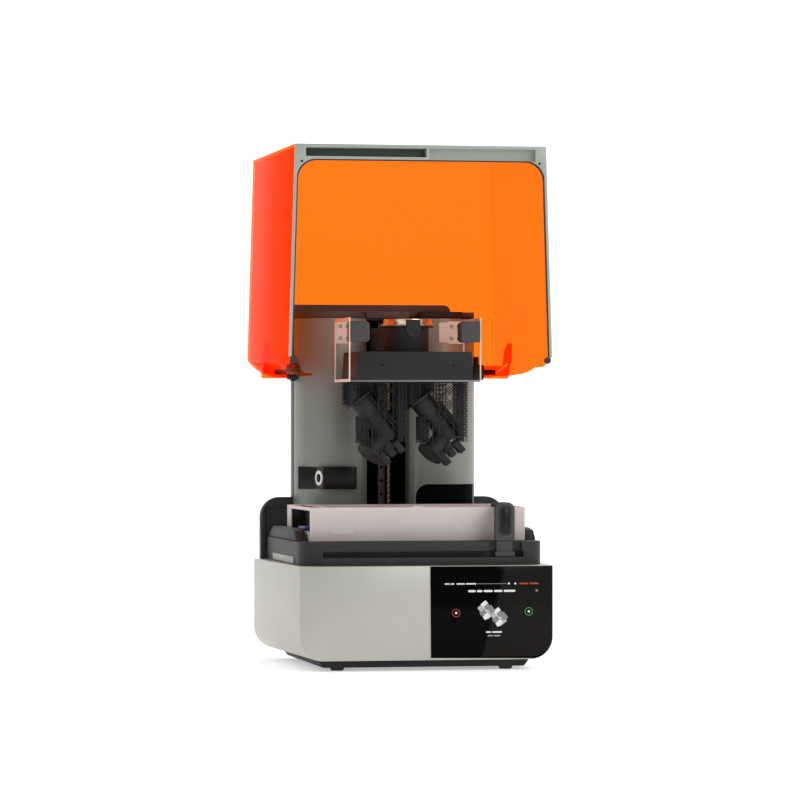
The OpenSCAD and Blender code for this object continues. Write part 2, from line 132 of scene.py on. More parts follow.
class Sock:
    """A node socket with the arithmetic operators, each of which adds a Math node."""

    def __init__(self, tree, socket):
        self.tree, self.socket = tree, socket

    def _math(self, operation, a, b):
        return self.tree.node("ShaderNodeMath", {"operation": operation}, {0: a, 1: b}).out()

    def __add__(self, other):
        return self._math("ADD", self, other)

    def __sub__(self, other):
        return self._math("SUBTRACT", self, other)

    def __rsub__(self, other):
        return self._math("SUBTRACT", other, self)

    def __mul__(self, other):
        return self._math("MULTIPLY", self, other)

    __radd__ = __add__
    __rmul__ = __mul__


class Made:
    """A node that was added, with its outputs wrapped."""

    def __init__(self, tree, made):
        self.tree, self.made = tree, made

    def out(self, name=0):
        return Sock(self.tree, self.made.outputs[name])


class Finish:
    """One material's node tree."""

    def __init__(self, name):
        self.material = bpy.data.materials.new(name)
        self.material.use_nodes = True
        self.nodes = self.material.node_tree.nodes
        self.links = self.material.node_tree.links
        self.nodes.clear()
        self.place = None

    def node(self, kind, settings=None, values=None):
        made = self.nodes.new(kind)
        for name, value in (settings or {}).items():
            setattr(made, name, value)
        for name, value in (values or {}).items():
            self.feed(made.inputs[name], value)
        return Made(self, made)

    def feed(self, socket, value):
        if isinstance(value, Sock):
            self.links.new(value.socket, socket)
        elif isinstance(value, (tuple, list)) and socket.type == "RGBA":
            socket.default_value = (*value[:3], 1)
        else:
            socket.default_value = value

    def position(self):
        """The object coordinates, from one node for the whole tree."""
        if self.place is None:
            self.place = self.node("ShaderNodeTexCoord").out("Object")
        return self.place

    def coords(self, scale=(1, 1, 1)):
        return self.node("ShaderNodeMapping", {}, {"Vector": self.position(), "Scale": scale}).out()

    def split(self):
        """The object coordinates X, Y and Z as three sockets."""
        parts = self.node("ShaderNodeSeparateXYZ", {}, {0: self.position()})
        return parts.out(0), parts.out(1), parts.out(2)

    def noise(self, scale, detail=3, roughness=0.5, stretch=(1, 1, 1)):
        values = {"Vector": self.coords(stretch), "Scale": scale, "Detail": detail, "Roughness": roughness}
        return self.node("ShaderNodeTexNoise", {}, values).out("Fac")

    def blend(self, fac, first, second):
        made = self.node("ShaderNodeMix", {"data_type": "RGBA"}, {0: fac, 6: first, 7: second})
        return made.out(2)

    def bump(self, height, strength, distance):
        values = {"Height": height, "Strength": strength, "Distance": distance}
        return self.node("ShaderNodeBump", {}, values).out("Normal")

    def shader(self, **values):
        named = {name.replace("_", " "): value for name, value in values.items()}
        return self.node("ShaderNodeBsdfPrincipled", {}, named).out("BSDF")

    def done(self, surface):
        end = self.node("ShaderNodeOutputMaterial")
        self.feed(end.made.inputs["Surface"], surface)
        return self.material


def shade_of(colour, factor):
    return tuple(min(1.0, part * factor) for part in colour)


# ---------------------------------------------------------------- finishes


PAINT_FLAKE = 9000
SHEEN_SLOPE = 0.26
SHEEN_EDGE = (0.074, 0.08)


def satin_paint(name, colour, metallic=0.0, rough=0.42):
    """Sprayed paint with fine flake, a slight mottle and handling marks in its gloss."""
    f = Finish(name)
    mottle = f.noise(22, 2)
    flake = f.noise(PAINT_FLAKE, 1)
    tone = f.blend(mottle, shade_of(colour, 0.95), shade_of(colour, 1.05))
    tone = f.blend(flake * 0.25, tone, shade_of(colour, 1.25))
    wear = f.noise(60, 4, 0.6)
    roughness = wear * 0.12 + (rough - 0.06)
    normal = f.bump(flake, 0.08, 0.0002)
    return f.done(f.shader(Base_Color=tone, Metallic=metallic, Roughness=roughness, Normal=normal,
                           Coat_Weight=0.15, Coat_Roughness=0.3))


def moulded(name, colour, rough=0.5, grain=1600, depth=0.25, shine=0.5):
    """Spark-textured moulded plastic with faint flow marks and rubbed patches."""
    f = Finish(name)
    pits = f.noise(grain, 2, 0.6)
    flow = f.noise(14, 3, 0.5, (1, 1, 2.5))
    rub = f.noise(45, 5, 0.7)
    tone = f.blend(flow, shade_of(colour, 0.88), shade_of(colour, 1.12))
    roughness = rub * 0.16 + (rough - 0.08)
    normal = f.bump(pits, depth, 0.00012)
    return f.done(f.shader(Base_Color=tone, Roughness=roughness, Normal=normal,
                           Specular_IOR_Level=shine))


def brushed_metal(name, colour, along=(1, 1, 1), rough=0.3):
    """Metal brushed along one direction."""
    f = Finish(name)
    lines = f.noise(900, 3, 0.6, along)
    cloud = f.noise(25, 3)
    tone = f.blend(lines, shade_of(colour, 0.86), shade_of(colour, 1.1))
    roughness = lines * 0.12 + cloud * 0.1 + (rough - 0.1)
    normal = f.bump(lines, 0.12, 0.0001)
    return f.done(f.shader(Base_Color=tone, Metallic=1.0, Roughness=roughness, Normal=normal))


def rubber_finish():
    """Black rubber with a little dust."""
    f = Finish("rubber")
    dust = f.noise(240, 4, 0.65)
    tone = f.blend(dust, (0.012, 0.012, 0.012), (0.03, 0.03, 0.03))
    return f.done(f.shader(Base_Color=tone, Roughness=dust * 0.15 + 0.65, Normal=f.bump(dust, 0.2, 0.0002)))


def screen_black():
    """Black cover glass with fingerprints in its gloss and a painted sheen: paler to the right of a slanted
    line.
    """
    f = Finish("screen_black")
    smear = f.noise(70, 4, 0.65)
    x, _, z = f.split()
    # painted sheen: the glass turns paler to the right of the slanted line
    painted_sheen = f.node("ShaderNodeMapRange", {"clamp": True},
                   {"Value": x - z * SHEEN_SLOPE, "From Min": SHEEN_EDGE[0], "From Max": SHEEN_EDGE[1]}).out()
    tone = f.blend(painted_sheen, (0.001, 0.001, 0.001), (0.012, 0.011, 0.01))
    return f.done(f.shader(Base_Color=tone, Roughness=smear * 0.1 + 0.05, Specular_IOR_Level=0.04))


def glow(name, colour, strength):
    """A lit mark on the screen, with the fine grid of its dots."""
    f = Finish(name)
    grid = f.noise(5000, 0)
    tone = f.blend(grid, shade_of(colour, 0.85), colour)
    return f.done(f.shader(Base_Color=(0.0, 0.0, 0.0), Roughness=0.3, Emission_Color=tone,
                           Emission_Strength=strength))


def amber_filter(colour):
    """Tinted acrylic: each of a wall's two faces passes the square root of the wall's colour."""
    f = Finish("amber_filter")
    face = tuple(math.sqrt(part) for part in colour)
    pass_through = f.node("ShaderNodeBsdfTransparent", {}, {"Color": face}).out()
    smear = f.noise(18, 3, 0.6)
    gloss = f.shader(Base_Color=shade_of(colour, 0.9), Roughness=smear * 0.08 + 0.02, Coat_Weight=0.5)
    edge = f.node("ShaderNodeLayerWeight", {}, {"Blend": 0.12}).out("Fresnel")
    share = edge * 0.1 + 0.012
    mixed = f.node("ShaderNodeMixShader", {}, {0: share, 1: pass_through, 2: gloss}).out()
    return f.done(mixed)


def clear_film():
    """Clear release film with a faint ripple."""
    f = Finish("clear_film")
    pass_through = f.node("ShaderNodeBsdfTransparent", {}, {"Color": (0.9, 0.92, 0.95)}).out()
    ripple = f.noise(40, 3, 0.6)
    gloss = f.shader(Base_Color=(0.7, 0.72, 0.75), Roughness=ripple * 0.1 + 0.05)
    mixed = f.node("ShaderNodeMixShader", {}, {0: 0.22, 1: pass_through, 2: gloss}).out()
    return f.done(mixed)


def printed_resin(colour, layer):
    """Cured resin with its layer lines and a dry, slightly chalky face."""
    f = Finish("printed_resin")
    _, _, z = f.split()
    lines = f.node("ShaderNodeMath", {"operation": "SINE"}, {0: z * (2 * math.pi / layer)}).out()
    chalk = f.noise(220, 4, 0.7)
    tone = f.blend(chalk, shade_of(colour, 0.7), shade_of(colour, 1.8))
    height = lines * 0.5 + chalk * 0.5
    return f.done(f.shader(Base_Color=tone, Roughness=chalk * 0.2 + 0.42,
                           Specular_IOR_Level=0.3, Normal=f.bump(height, 0.35, 0.0002)))


def circuit_green():
    """A green circuit board with paler tracks."""
    f = Finish("circuit_green")
    values = {"Vector": f.coords(), "Scale": 160.0, "Mortar Size": 0.03}
    tracks = f.node("ShaderNodeTexBrick", {}, values).out("Fac")
    tone = f.blend(tracks, (0.01, 0.11, 0.04), (0.05, 0.24, 0.1))
    return f.done(f.shader(Base_Color=tone, Roughness=tracks * 0.1 + 0.3))


def make_finishes():
    """Every finish, by the record's material slot or by its own name."""
    colours = finish_props()
    sage = tuple(colours.sage)
    return {
        "silver_shell": satin_paint("silver_paint", tuple(colours.silver), metallic=0.35, rough=0.42),
        "sage": satin_paint("sage_paint", sage, metallic=0.2, rough=0.42),
        # a paler copy of the sage paint, as painted light on the cover rim, which faces the key light
        "sage_rim_lit": satin_paint("sage_rim_lit", shade_of(sage, 1.5), metallic=0.1, rough=0.45),
        "screen_glass": screen_black(),
        "black_gloss": moulded("black_gloss", (0.006, 0.005, 0.005), 0.3, 400, 0.05, 0.25),
        "black_matte": moulded("black_matte", (0.018, 0.018, 0.018), 0.55, shine=0.2),
        # black warmed towards brown: partly the casing's own black, partly a painted reflection of amber
        # light
        "casing_black_amber_lit": moulded("casing_black_amber_lit", (0.075, 0.058, 0.052), 0.5, shine=0.3),
        "deck_grey": moulded("deck_grey", (0.03, 0.031, 0.031), 0.55, 1800, 0.35, 0.2),
        "grip_grey": moulded("grip_grey", (0.06, 0.056, 0.057), 0.6, 1800, 0.35, 0.25),
        "dark_parts": moulded("dark_parts", (0.015, 0.015, 0.016), 0.55, shine=0.25),
        "tank_grey": moulded("tank_grey", tuple(colours.tank), 0.45, 1500, 0.15, 0.3),
        "blue_tab": moulded("blue_tab", (0.012, 0.03, 0.28), 0.4),
        "white_ring": moulded("white_ring", (0.85, 0.85, 0.83), 0.3, 600, 0.05),
        "rubber": rubber_finish(),
        "amber": amber_filter(tuple(colours.amber)),
        "film": clear_film(),
        "steel": brushed_metal("steel", (0.42, 0.43, 0.44), (1, 14, 1), 0.34),
        "rail_steel": brushed_metal("rail_steel", (0.075, 0.062, 0.055), (1, 14, 1), 0.45),
        "sheet_steel": brushed_metal("sheet_steel", (0.2, 0.2, 0.2), (14, 1, 1), 0.42),
        "cream_metal": moulded("cream_metal", (0.72, 0.60, 0.50), 0.42, 900, 0.12, 0.4),
        "brass": brushed_metal("brass", (0.24, 0.15, 0.09), (1, 1, 8), 0.4),
        # pale gold metal on the black hub's rim and lid: a painted highlight of amber light
        "hub_highlight_gold": brushed_metal("hub_highlight_gold", (0.75, 0.62, 0.45), (1, 1, 1), 0.25),
        "print_resin": printed_resin(tuple(colours.resin), size_props().layer),
        "circuit_green": circuit_green(),
        "glow_white": glow("glow_white", (0.9, 0.9, 0.9), 0.9),
        "glow_grey": glow("glow_grey", (0.5, 0.5, 0.51), 0.9),
        "glow_dim": glow("glow_dim", (0.28, 0.28, 0.29), 0.8),
        "glow_red": glow("glow_red", (0.6, 0.04, 0.03), 0.9),
        "glow_green": glow("glow_green", (0.04, 0.45, 0.09), 0.9),
        # a darkened sage: painted shade on the floor of the cover's grip pocket
        "pocket_shade_sage": moulded("pocket_shade_sage", (0.05, 0.058, 0.05), 0.6, shine=0.2),
        # near-black for black parts, and as painted shade inside holes and recesses
        "near_black_and_hollow_shade": moulded("near_black_and_hollow_shade", (0.001, 0.001, 0.001), 0.8, shine=0.05),
    }


SLOT_OF = {part["node"]: part["material_slot"] for part in frame["record"]["subparts"]}
BODY_OF = {node: body for body, nodes in frame["record"]["behaviour"]["bodies"].items() for node in nodes}
FINISHES = {}
OWN_FINISH = {
    "rear_bulkhead": "deck_grey", "hinge_arms": "amber", "cover_rim": "sage_rim_lit",
    "tower_lid": "casing_black_amber_lit", "tower_rear_casing": "casing_black_amber_lit",
    "dispense_bay": "near_black_and_hollow_shade", "linear_rail": "rail_steel", "lift_carriage": "rail_steel",
    "lift_nut": "rail_steel", "flex_sheet": "sheet_steel", "left_grip": "grip_grey",
    "right_grip": "grip_grey", "mixer_carriage": "grip_grey", "mixer_arm": "grip_grey",
    "flange_rivets_left": "cream_metal", "flange_rivets_right": "cream_metal",
}


# ---------------------------------------------------------------- modelling by hand


def only(*pieces):
    """Selects these objects alone and makes the last one active."""
    if bpy.context.object and bpy.context.object.mode != "OBJECT":
        bpy.ops.object.mode_set(mode="OBJECT")
    bpy.ops.object.select_all(action="DESELECT")
    for piece in pieces:
        piece.select_set(True)
    bpy.context.view_layer.objects.active = pieces[-1]


def bake_place(piece):
    """Moves a piece's place, turn and scale into its mesh."""
    only(piece)
    bpy.ops.object.transform_apply(location=True, rotation=True, scale=True)
    return piece


def apply_modifier(piece, kind, **settings):
    """Adds a modifier with its settings and applies it."""
    only(piece)
    bpy.ops.object.modifier_add(type=kind)
    modifier = piece.modifiers[-1]
    for name, value in settings.items():
        setattr(modifier, name, value)
    bpy.ops.object.modifier_apply(modifier=modifier.name)


def rounded(piece, radius):
    """Rounds every edge sharper than the bevel angle and smooths the rest."""
    apply_modifier(piece, "BEVEL", width=radius, segments=BEVEL_SEGMENTS, limit_method="ANGLE",
                   angle_limit=BEVEL_OVER, use_clamp_overlap=True)
    only(piece)
    bpy.ops.object.shade_smooth_by_angle(angle=SMOOTH_UNDER)
    return piece


def block(name, low, high, radius):
    """A block between two corners with its edges rounded."""
    low, high = Vector(low), Vector(high)
    bpy.ops.mesh.primitive_cube_add(size=1, location=(low + high) / 2)
    piece = bpy.context.object
    piece.name = name
    piece.scale = high - low
    bake_place(piece)
    return rounded(piece, radius)


def disc(name, centre, normal, radius, depth, edge=0.2 * MM, sides=40):
    """A round boss that stands on centre and rises along normal."""
    normal = Vector(normal).normalized()
    bpy.ops.mesh.primitive_cylinder_add(vertices=sides, radius=radius, depth=depth,
                                        location=Vector(centre) + normal * depth / 2)
    piece = bpy.context.object
    piece.name = name
    piece.rotation_euler = normal.to_track_quat("Z", "Y").to_euler()
    bake_place(piece)
    return rounded(piece, edge)


def ring(name, centre, normal, radius, thickness, sides=48):
    """A round wire ring about centre, square to normal."""
    bpy.ops.mesh.primitive_torus_add(major_radius=radius, minor_radius=thickness, major_segments=sides,
                                     minor_segments=10, location=centre)
    piece = bpy.context.object
    piece.name = name
    piece.rotation_euler = Vector(normal).normalized().to_track_quat("Z", "Y").to_euler()
    bake_place(piece)
    only(piece)
    bpy.ops.object.shade_smooth()
    return piece


def rod(name, start, end, radius, sides=8, tip=1.0):
    """A strut between two points, tapered by tip at its end."""
    start, end = Vector(start), Vector(end)
    bpy.ops.mesh.primitive_cone_add(vertices=sides, radius1=radius, radius2=radius * tip,
                                    depth=(end - start).length, location=(start + end) / 2)
    piece = bpy.context.object
    piece.name = name
    piece.rotation_euler = (end - start).to_track_quat("Z", "Y").to_euler()
    return bake_place(piece)


def plate(name, outline, normal_axis, place, depth, radius=0.0):
    """A flat outline in the two other axes, drawn out along one axis from place by depth."""
    order = [axis for axis in (0, 1, 2) if axis != normal_axis]
    bpy.ops.mesh.primitive_circle_add(vertices=len(outline), fill_type="NGON", radius=1)
    piece = bpy.context.object
    piece.name = name
    for vertex, point in zip(piece.data.vertices, outline):
        spot = [0.0, 0.0, 0.0]
        spot[order[0]], spot[order[1]], spot[normal_axis] = point[0], point[1], place
        vertex.co = spot
    offset = [0.0, 0.0, 0.0]
    offset[normal_axis] = depth
    only(piece)
    bpy.ops.object.mode_set(mode="EDIT")
    bpy.ops.mesh.select_all(action="SELECT")
    bpy.ops.mesh.extrude_region_move(TRANSFORM_OT_translate={"value": offset})
    bpy.ops.mesh.select_all(action="SELECT")
    bpy.ops.mesh.normals_make_consistent(inside=False)
    bpy.ops.object.mode_set(mode="OBJECT")
    bake_place(piece)
    return rounded(piece, radius) if radius else piece


def joined(name, pieces):
    """Several pieces made one mesh."""
    only(*pieces)
    bpy.ops.object.join()
    piece = bpy.context.object
    piece.name = name
    return piece


def settle(piece, body, slot, *replaced, finish=None):
    """Gives a finished piece its finish, named or else found by its slot, and its body, and hides the nodes
    it replaces.
    """
    piece.data.materials.clear()
    piece.data.materials.append(FINISHES[finish or slot])
    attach(piece, body)
    if replaced:
        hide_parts(*replaced)
    return piece


def softened(node, radius, cut_behind=None):
    """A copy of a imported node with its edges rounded, which then stands for the node.

    Where cut_behind gives a Y, only the part of the copy past it, towards the back, stays.
    """
    piece = bpy.data.objects.new(node + "_moulded", NODES[node].data.copy())
    bpy.context.scene.collection.objects.link(piece)
    only(piece)
    bpy.ops.object.mode_set(mode="EDIT")
    bpy.ops.mesh.select_all(action="SELECT")
    bpy.ops.mesh.remove_doubles(threshold=MERGE_WITHIN)
    bpy.ops.mesh.dissolve_limited(angle_limit=FLAT_WITHIN)
    if cut_behind is not None:
        bpy.ops.mesh.select_all(action="SELECT")
        bpy.ops.mesh.bisect(plane_co=(0, cut_behind, 0), plane_no=(0, 1, 0), use_fill=True,
                            clear_inner=True)
    bpy.ops.object.mode_set(mode="OBJECT")
    rounded(piece, radius)
    return settle(piece, BODY_OF[node], SLOT_OF[node], node, finish=OWN_FINISH.get(node))


def rounded_outline(low, high, radius, steps=6):
    """The points of a rectangle with round corners, in its own plane."""
    corners = ((high[0], high[1], 0), (low[0], high[1], 90), (low[0], low[1], 180), (high[0], low[1], 270))
    points = []
    for x, y, start in corners:
        cx = x - radius if x == high[0] else x + radius
        cy = y - radius if y == high[1] else y + radius
        for i in range(steps + 1):
            angle = math.radians(start + 90 * i / steps)
            points.append((cx + radius * math.cos(angle), cy + radius * math.sin(angle)))
    return points


def opened(x, y, z):
    """A point of the closed cover, in millimetres, where the open cover holds it, in metres."""
    return Vector((x * MM, HINGE.y + z * MM - HINGE.z, HINGE.z - y * MM + HINGE.y))


def mm(x, y, z):
    """A point given in millimetres, in metres."""
    return Vector((x, y, z)) * MM


def frame_panel(name, low, high, place, depth, corner, border):
    """A thin raised border on a wall that faces -Y, in millimetres."""
    outline = [(x * MM, z * MM) for x, z in rounded_outline(low, high, corner)]
    piece = plate(name, outline, 1, place * MM, -depth * MM)
    only(piece)
    bpy.ops.object.mode_set(mode="EDIT")
    bpy.ops.mesh.select_mode(type="FACE")
    bpy.ops.mesh.select_all(action="DESELECT")
    mesh = bmesh.from_edit_mesh(piece.data)
    front = min(mesh.faces, key=lambda face: face.calc_center_median().y)
    front.select = True
    bmesh.update_edit_mesh(piece.data)
    bpy.ops.mesh.inset(thickness=border * MM)
    bpy.ops.mesh.extrude_region_move(TRANSFORM_OT_translate={"value": (0, depth * MM * 0.9, 0)})
    bpy.ops.object.mode_set(mode="OBJECT")
    only(piece)
    bpy.ops.object.shade_smooth_by_angle(angle=SMOOTH_UNDER)
    return piece


# ---------------------------------------------------------------- stage


WORLD_STRENGTH = 0.5
FLOOR_SIZE, FLOOR_Y, BACKDROP_HEIGHT, COVE_RADIUS = 16, -5, 7, 1.5
FLOOR_GLOW = 0.42
LIT_POINT = Vector((0, 0, 0.35))
LIGHTS = (  # name, place, size in metres, power in watts
    ("key", (1.9, -3.3, 2.3), 2.0, 54),
    ("fill", (-2.6, -2.6, 1.4), 2.5, 8),
    ("top", (0.2, 0.3, 3.0), 2.0, 20),
)
CAMERA_PLACE = (-1.1565, -6.0172, 0.3738)
CAMERA_HEADING = -math.atan2(0.18788, 0.98219)
CAMERA_SENSOR, CAMERA_SHIFT = 36, 0.019


class PRINTER_OT_stage(bpy.types.Operator):
    """Pale floor and backdrop, soft lights and the camera"""

    bl_idname = "printer.stage"
    bl_label = "Stage"

    def execute(self, context):
        scene = context.scene
        scene.view_settings.view_transform = "Standard"
        world = bpy.data.worlds.new("studio")
        world.use_nodes = True
        background = world.node_tree.nodes["Background"]
        background.inputs["Color"].default_value = (1, 1, 1, 1)
        background.inputs["Strength"].default_value = WORLD_STRENGTH
        scene.world = world

        bpy.ops.mesh.primitive_plane_add(size=FLOOR_SIZE, location=(0, FLOOR_Y, 0))
        floor = context.object
        floor.name = "floor"
        bake_place(floor)
        bpy.ops.object.mode_set(mode="EDIT")
        bpy.ops.mesh.select_mode(type="EDGE")
        bpy.ops.mesh.select_all(action="DESELECT")
        mesh = bmesh.from_edit_mesh(floor.data)
        back = max(mesh.edges, key=lambda edge: edge.verts[0].co.y + edge.verts[1].co.y)
        back.select = True
        bmesh.update_edit_mesh(floor.data)
        bpy.ops.mesh.extrude_region_move(TRANSFORM_OT_translate={"value": (0, 0, BACKDROP_HEIGHT)})
        bpy.ops.object.mode_set(mode="OBJECT")
        apply_modifier(floor, "BEVEL", width=COVE_RADIUS, segments=12, limit_method="ANGLE")
        bpy.ops.object.shade_smooth()
        paper = Finish("paper")
        tone = paper.blend(paper.noise(3, 2), (0.9, 0.9, 0.9), (0.94, 0.94, 0.94))
        floor.data.materials.append(paper.done(paper.shader(
            Base_Color=tone, Roughness=0.9, Emission_Color=(1.0, 1.0, 1.0), Emission_Strength=FLOOR_GLOW)))

        for name, place, size, power in LIGHTS:
            bpy.ops.object.light_add(type="AREA", location=place)
            light = context.object
            light.name = name
            light.data.size = size
            light.data.energy = power
            light.rotation_euler = (Vector(place) - LIT_POINT).to_track_quat("Z", "Y").to_euler()

        bpy.ops.object.camera_add(location=CAMERA_PLACE, rotation=(math.radians(90), 0, CAMERA_HEADING))
        camera = context.object
        camera.data.lens = size_props().lens
        camera.data.sensor_width = CAMERA_SENSOR
        camera.data.shift_y = CAMERA_SHIFT
        scene.camera = camera
        return {"FINISHED"}


class PRINTER_OT_finishes(bpy.types.Operator):
    """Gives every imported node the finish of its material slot"""

    bl_idname = "printer.finishes"
    bl_label = "Finishes"

    def execute(self, context):
        FINISHES.update(make_finishes())
        for name, node in NODES.items():
            node.data.materials.clear()
            node.data.materials.append(FINISHES[OWN_FINISH.get(name, SLOT_OF[name])])
        return {"FINISHED"}


# ---------------------------------------------------------------- casings


EDGES = {  # edge radius of each node in millimetres, while the edge setting is at its default
    "base_shell": 1.2, "front_panel": 0.6, "screen_bezel": 0.6, "touchscreen_glass": 0.5, "plinth": 1.0,
    "feet": 0.8,
    "deck": 1.4, "side_trim": 0.4, "tank_guides": 2.5, "rear_bulkhead": 1.6, "tower_shell": 0.8,
    "tower_rear_casing": 1.2, "tower_lid": 1.5, "resin_cartridge": 1.0, "camera_pod": 1.2,
    "dispense_bay": 0.6,
    "hinge_brackets": 0.8, "resin_tank": 0.9, "tank_tab": 1.0, "mixer_carriage": 1.4, "mixer_arm": 1.0,
    "mixer_blade": 1.2, "left_grip": 1.2, "right_grip": 1.2, "lift_carriage": 1.2, "lift_arm": 1.5,
    "platform_hub": 0.8, "platform_latch": 0.6,
    "platform_body": 1.2, "flex_sheet": 0.3, "cover_shell": 0.6, "cover_rim": 0.8,
    "power_supply": 0.8, "fan_frame": 0.6, "port_plate": 0.5, "power_inlet": 0.5, "power_switch": 0.4,
}


class PRINTER_OT_casings(bpy.types.Operator):
    """Rounds the edges of the moulded and painted casings"""

    bl_idname = "printer.casings"
    bl_label = "Casings"

    def execute(self, context):
        scale = size_props().edge / DEFAULT_EDGE
        for node, radius in EDGES.items():
            softened(node, radius * MM * scale)
        return {"FINISHED"}


# ---------------------------------------------------------------- screen


SCREEN_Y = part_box("touchscreen_glass")[0][1]
STATUS_Z = 127.1
MARK_THICK = 0.08 * MM
DOT_EDGE = 0.01 * MM
TEXT_ROWS = (  # name, height of its middle, height of the bars, span of each bar, finish
    ("status_bars", STATUS_Z, 1.9, ((25.8, 33), (34.5, 40), (43.5, 56), (57.5, 72.6)), "glow_white"),
    ("heading_bars", 116.4, 3.0, ((60.8, 72), (74, 82), (84, 97.5), (99.5, 112), (114, 131.5)), "glow_white"),
    ("alert_bars", STATUS_Z, 2.0, ((137.6, 151), (153, 166.2)), "glow_red"),
    ("caption_bars", 56.3, 2.2, ((87.5, 95), (96.5, 111.4)), "glow_white"),
    ("caption_under", 51.0, 1.5, ((90, 98), (99.3, 109)), "glow_grey"),
)
PICTURE_STEPS = (  # across, up, half width, half height, shade
    (0, 0, 9, 9, 0), (-7, 5, 8, 6, 1), (-3, 11, 6, 5, 0), (5, -7, 8, 6, 1), (9, 2, 5, 7, 2), (2, 6, 5, 5, 2),
    (-6, -4, 6, 4, 2), (0, -11, 6, 4, 0),
)
PICTURE_SCALE, PICTURE_TURN, PICTURE_LIFT = 0.8, math.radians(38), 0.02


def screen_mark(name, low, high, corner):
    """A thin lit shape with round corners on the cover glass."""
    outline = [(x * MM, z * MM) for x, z in rounded_outline(low, high, corner, 3)]
    return plate(name, outline, 1, SCREEN_Y, -MARK_THICK)


def screen_bars(name, z, height, spans):
    """A row of rounded bars that stands for a line of text."""
    return joined(name, [screen_mark(name, (x0, z - height / 2), (x1, z + height / 2), height * 0.45)
                         for x0, x1 in spans])


def screen_dot(name, x, z, radius):
    """A thin lit disc on the cover glass."""
    return disc(name, (x * MM, SCREEN_Y, z * MM), (0, -1, 0), radius * MM, MARK_THICK, DOT_EDGE)


class PRINTER_OT_screen(bpy.types.Operator):
    """Generic marks on the touchscreen"""

    bl_idname = "printer.screen"
    bl_label = "Screen marks"

    def execute(self, context):
        lit = [(screen_bars(*row), colour) for *row, colour in TEXT_ROWS]
        lit.append((screen_mark("status_rule", (74, 126.6), (118, 127.4), 0.3), "glow_dim"))
        for name, x in (("status_dot_1", 121.8), ("status_dot_2", 131.4)):
            lit.append((screen_dot(name, x, STATUS_Z, 1.5), "glow_white"))
        cross = []
        for angle in (45, -45):
            bar = screen_mark("close_bar", (-2.2, -0.35), (2.2, 0.35), 0.2)
            only(bar)
            bpy.ops.transform.rotate(value=math.radians(angle), orient_axis="Y",
                                     center_override=(0, SCREEN_Y, 0))
            bpy.ops.transform.translate(value=mm(163.6, 0, 116.7))
            cross.append(bake_place(bar))
        lit.append((joined("close_mark", cross), "glow_grey"))
        for name, x, z, colour in (("no_button", 42.9, 84.7, "glow_red"),
                                   ("yes_button", 151.7, 86, "glow_green")):
            lit.append((ring(name, (x * MM, SCREEN_Y, z * MM), (0, 1, 0), 5.6 * MM, 0.4 * MM), colour))
            lit.append((screen_dot(name + "_dot", x, z, 1.7), "glow_white"))
        for piece, colour in lit:
            settle(piece, BODY_OF["touchscreen_glass"], "screen_glass", finish=colour)
        self.picture()
        return {"FINISHED"}

    def picture(self):
        """Two stepped shapes that stand for the finished prints."""
        shades = ("glow_white", "glow_grey", "glow_dim")
        for part, (x, z) in enumerate(((88, 88), (107, 78))):
            for i, (dx, dz, w, h, shade) in enumerate(PICTURE_STEPS):
                piece = screen_mark(f"picture_{part}_{i}", (-w, -h), (w, h), 1.0)
                only(piece)
                bpy.ops.transform.resize(value=(PICTURE_SCALE, 1, PICTURE_SCALE),
                                         center_override=(0, SCREEN_Y, 0))
                bpy.ops.transform.rotate(value=PICTURE_TURN, orient_axis="Y",
                                         center_override=(0, SCREEN_Y, 0))
                bpy.ops.transform.translate(value=mm(
                    x + dx * PICTURE_SCALE, -PICTURE_LIFT * i, z + dz * PICTURE_SCALE))
                bake_place(piece)
                settle(piece, BODY_OF["touchscreen_glass"], "screen_glass", finish=shades[shade])


# ---------------------------------------------------------------- camera eye


EYE_NORMAL = Vector((-0.956, -0.293, 0)).normalized()


class PRINTER_OT_eye(bpy.types.Operator):
    """Pupil, glass and rim of the camera on its pod"""

    bl_idname = "printer.eye"
    bl_label = "Camera eye"

    def execute(self, context):
        low, high = (Vector(corner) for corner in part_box("camera_lens"))
        normal = EYE_NORMAL
        face = (low + high) / 2 + normal * 0.8 * MM
        body = BODY_OF["camera_lens"]
        settle(ring("lens_rim", face, normal, 10.8 * MM, 0.6 * MM), body, "white_ring")
        settle(disc("lens_pupil", face, normal, 6.4 * MM, 0.5 * MM, 0.15 * MM), body, "black_gloss",
               finish="near_black_and_hollow_shade")
        settle(disc("lens_glass", face + normal * 0.5 * MM, normal, 4.0 * MM, 0.6 * MM, 0.4 * MM), body,
               "black_gloss")
        return {"FINISHED"}


# ---------------------------------------------------------------- prints


SHEET_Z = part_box("print_left")[1][2]
BARREL = Vector((0.62, 0, -0.785)).normalized()
ELBOW = Vector((-0.62, -0.27, -0.735)).normalized()
LUG_TILT = Matrix.Rotation(math.radians(49), 4, "Y")
FIN_TILT = Matrix.Rotation(math.radians(141.7), 4, "Y")
WEB_TILT = Matrix.Rotation(math.radians(-41), 4, "Y")
STRUT_RADIUS, STRUT_SIDES, STRUT_TIP = 0.9 * MM, 6, 0.7
BRACE_RADIUS, BRACE_SIDES = 0.6 * MM, 5


def turned_block(name, size, place, turn, radius=0.5):
    """A block of a size in millimetres, turned about its middle and moved to its place."""
    half = Vector(size) / 2
    piece = block(name, mm(*-half), mm(*half), radius * MM)
    piece.data.transform(Matrix.Translation(mm(*place)) @ turn)
    return piece


